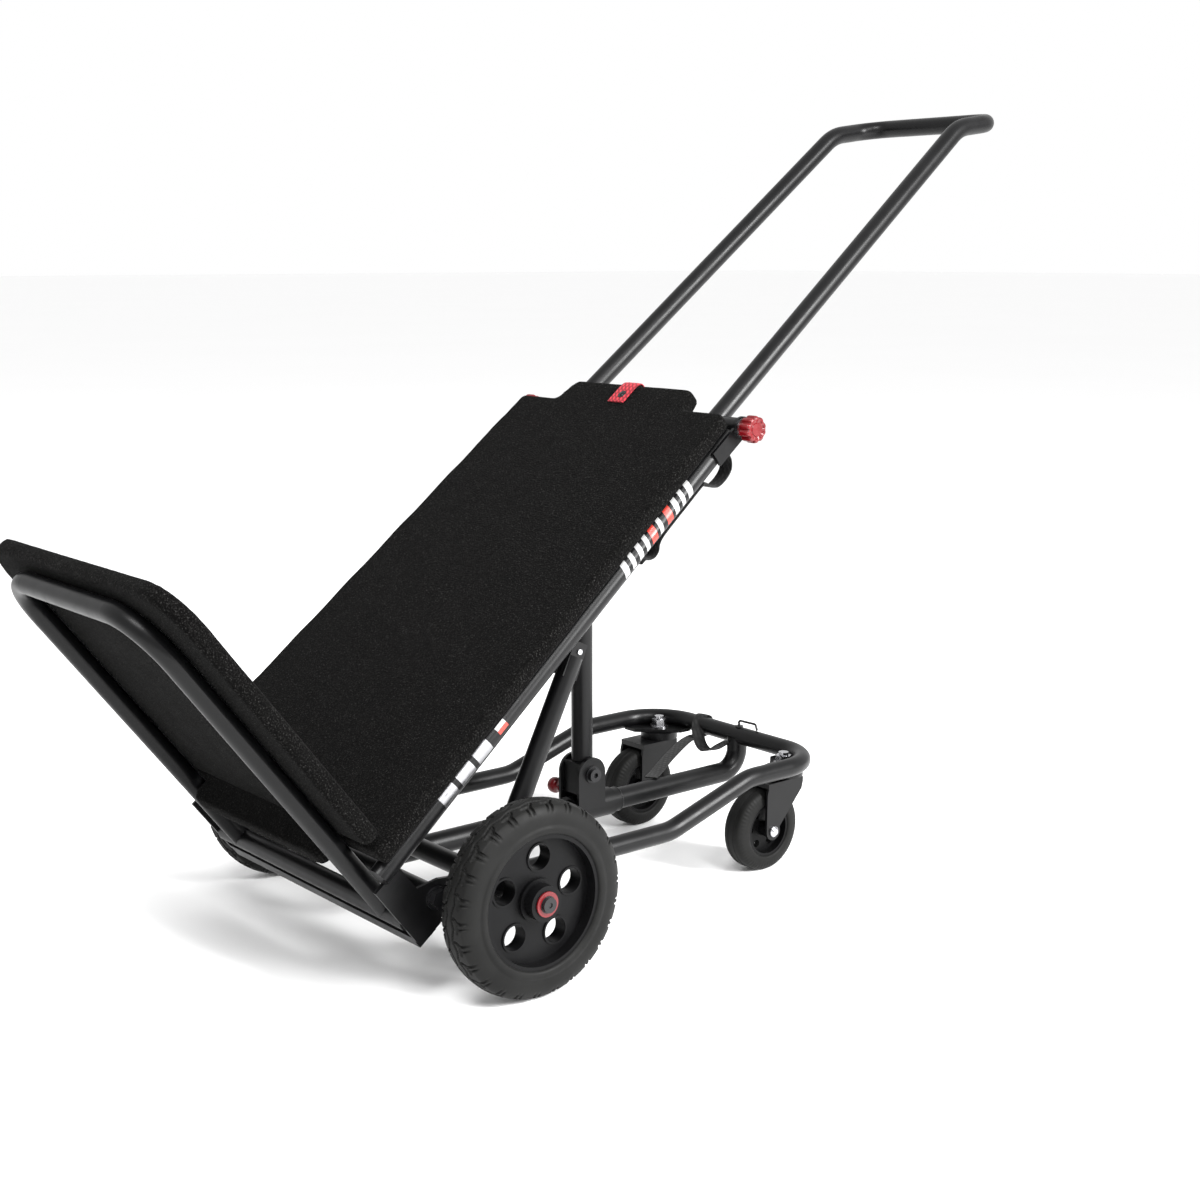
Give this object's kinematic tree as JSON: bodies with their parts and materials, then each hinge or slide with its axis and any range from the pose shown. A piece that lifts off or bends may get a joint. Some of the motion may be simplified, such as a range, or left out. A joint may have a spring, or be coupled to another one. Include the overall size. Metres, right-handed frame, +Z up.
{
  "type": "convertible hand truck",
  "caption": "Folding hand truck with a carpeted back and toe, large treaded wheels, a fold-down swivel-caster frame with a post, and a pivoting handle.",
  "frame": {"origin": "centre of the bounding box at floor level", "axes": "+X to the operator's left along the axle, +Y to the rear (handle and casters), +Z up from the floor"},
  "size_m": [0.5384, 1.2379, 0.9065],
  "materials": {
    "frame_black": "gloss black enamel",
    "carpet": "short looped pile",
    "webbing_red": "woven",
    "webbing_black": "woven",
    "tyre_rubber": "matt rubber",
    "rim_plastic": "moulded, satin",
    "knob_red": "moulded, gloss",
    "washer_red": "gloss",
    "bolt_black": "black oxide",
    "zinc_steel": "bright zinc plate",
    "cap_rubber": "matt",
    "wire_steel": "black wire"
  },
  "bodies": {
    "chassis": {"back_rail_left": "frame_black", "back_rail_right": "frame_black", "mid_cross_tube": "frame_black", "post_saddle": "frame_black", "pivot_lugs": "frame_black", "foot_cross_tube": "frame_black", "toe_side_tube_left": "frame_black", "toe_side_tube_right": "frame_black", "toe_front_tube": "frame_black", "foot_plate_left": "frame_black", "foot_plate_right": "frame_black", "foot_angle": "frame_black", "tie_tube": "frame_black", "tie_bolts": "bolt_black", "axle_tube": "frame_black", "axle_shaft": "zinc_steel", "strut_left": "frame_black", "strut_right": "frame_black", "strut_rivets": "zinc_steel", "toe_board": "carpet", "back_board": "carpet", "board_strap": "webbing_red", "rail_strap": "webbing_black", "hub_washers": "washer_red", "hub_bolts": "bolt_black"},
    "wheel_left": {"tyre_left": "tyre_rubber", "rim_left": "rim_plastic"},
    "wheel_right": {"tyre_right": "tyre_rubber", "rim_right": "rim_plastic"},
    "handle": {"handle_leg_left": "frame_black", "handle_leg_right": "frame_black", "grip_bar": "frame_black", "pivot_tube": "frame_black"},
    "knob_left": {"clamp_knob_left": "knob_red", "knob_stud_left": "zinc_steel"},
    "knob_right": {"clamp_knob_right": "knob_red", "knob_stud_right": "zinc_steel"},
    "caster_frame": {"base_side_tube_left": "frame_black", "base_side_tube_right": "frame_black", "base_rear_tube": "frame_black", "spine_tube": "frame_black", "hinge_sleeves": "frame_black", "clevis": "frame_black", "clevis_bolt": "bolt_black", "caster_plates": "frame_black", "caster_nuts": "zinc_steel", "wire_loop": "wire_steel", "tie_strap": "webbing_black"},
    "post": {"post_tube": "frame_black", "post_cap": "cap_rubber"},
    "pull_pin": {"pull_pin": "zinc_steel", "pull_knob": "knob_red"},
    "swivel_left": {"caster_fork_left": "frame_black", "caster_axle_left": "zinc_steel"},
    "swivel_right": {"caster_fork_right": "frame_black", "caster_axle_right": "zinc_steel"},
    "caster_wheel_left": {"caster_tyre_left": "tyre_rubber", "caster_rim_left": "rim_plastic"},
    "caster_wheel_right": {"caster_tyre_right": "tyre_rubber", "caster_rim_right": "rim_plastic"}
  },
  "joints": [
    {"name": "wheel_left_spin", "type": "hinge", "parent": "chassis", "child": "wheel_left", "pos_m": [0.24, -0.24718, 0.1016], "axis": [1, 0, 0], "continuous": true},
    {"name": "wheel_right_spin", "type": "hinge", "parent": "chassis", "child": "wheel_right", "pos_m": [-0.24, -0.24718, 0.1016], "axis": [1, 0, 0], "continuous": true},
    {"name": "handle_fold", "type": "hinge", "parent": "chassis", "child": "handle", "pos_m": [0, 0.09192, 0.54391], "axis": [1, 0, 0], "range_deg": [0, 90]},
    {"name": "knob_left_turn", "type": "hinge", "parent": "chassis", "child": "knob_left", "pos_m": [0.182, 0.09192, 0.54391], "axis": [1, 0, 0], "range_deg": [0, 720]},
    {"name": "knob_right_turn", "type": "hinge", "parent": "chassis", "child": "knob_right", "pos_m": [-0.182, 0.09192, 0.54391], "axis": [-1, 0, 0], "range_deg": [0, 720]},
    {"name": "caster_frame_fold", "type": "hinge", "parent": "chassis", "child": "caster_frame", "pos_m": [0, -0.24718, 0.1016], "axis": [1, 0, 0], "range_deg": [0, 41]},
    {"name": "post_fold", "type": "hinge", "parent": "caster_frame", "child": "post", "pos_m": [0, 0.01282, 0.13], "axis": [1, 0, 0], "range_deg": [-81.5, 0]},
    {"name": "pull_pin_slide", "type": "slide", "parent": "caster_frame", "child": "pull_pin", "axis": [-1, 0, 0], "range_m": [0, 0.01], "stiffness_N_per_m": 600, "springref_m": -0.006},
    {"name": "swivel_left_turn", "type": "hinge", "parent": "caster_frame", "child": "swivel_left", "pos_m": [0.1135, 0.23582, 0.11], "axis": [0, 0, 1], "continuous": true},
    {"name": "swivel_right_turn", "type": "hinge", "parent": "caster_frame", "child": "swivel_right", "pos_m": [-0.1135, 0.23582, 0.11], "axis": [0, 0, 1], "continuous": true},
    {"name": "caster_left_spin", "type": "hinge", "parent": "swivel_left", "child": "caster_wheel_left", "pos_m": [0.1135, 0.19842, 0.0505], "axis": [1, 0, 0], "continuous": true},
    {"name": "caster_right_spin", "type": "hinge", "parent": "swivel_right", "child": "caster_wheel_right", "pos_m": [-0.1135, 0.19842, 0.0505], "axis": [1, 0, 0], "continuous": true}
  ],
  "couplings": [
    {"joint": "post_fold", "follows": "caster_frame_fold", "ratio": -1.98}
  ]
}
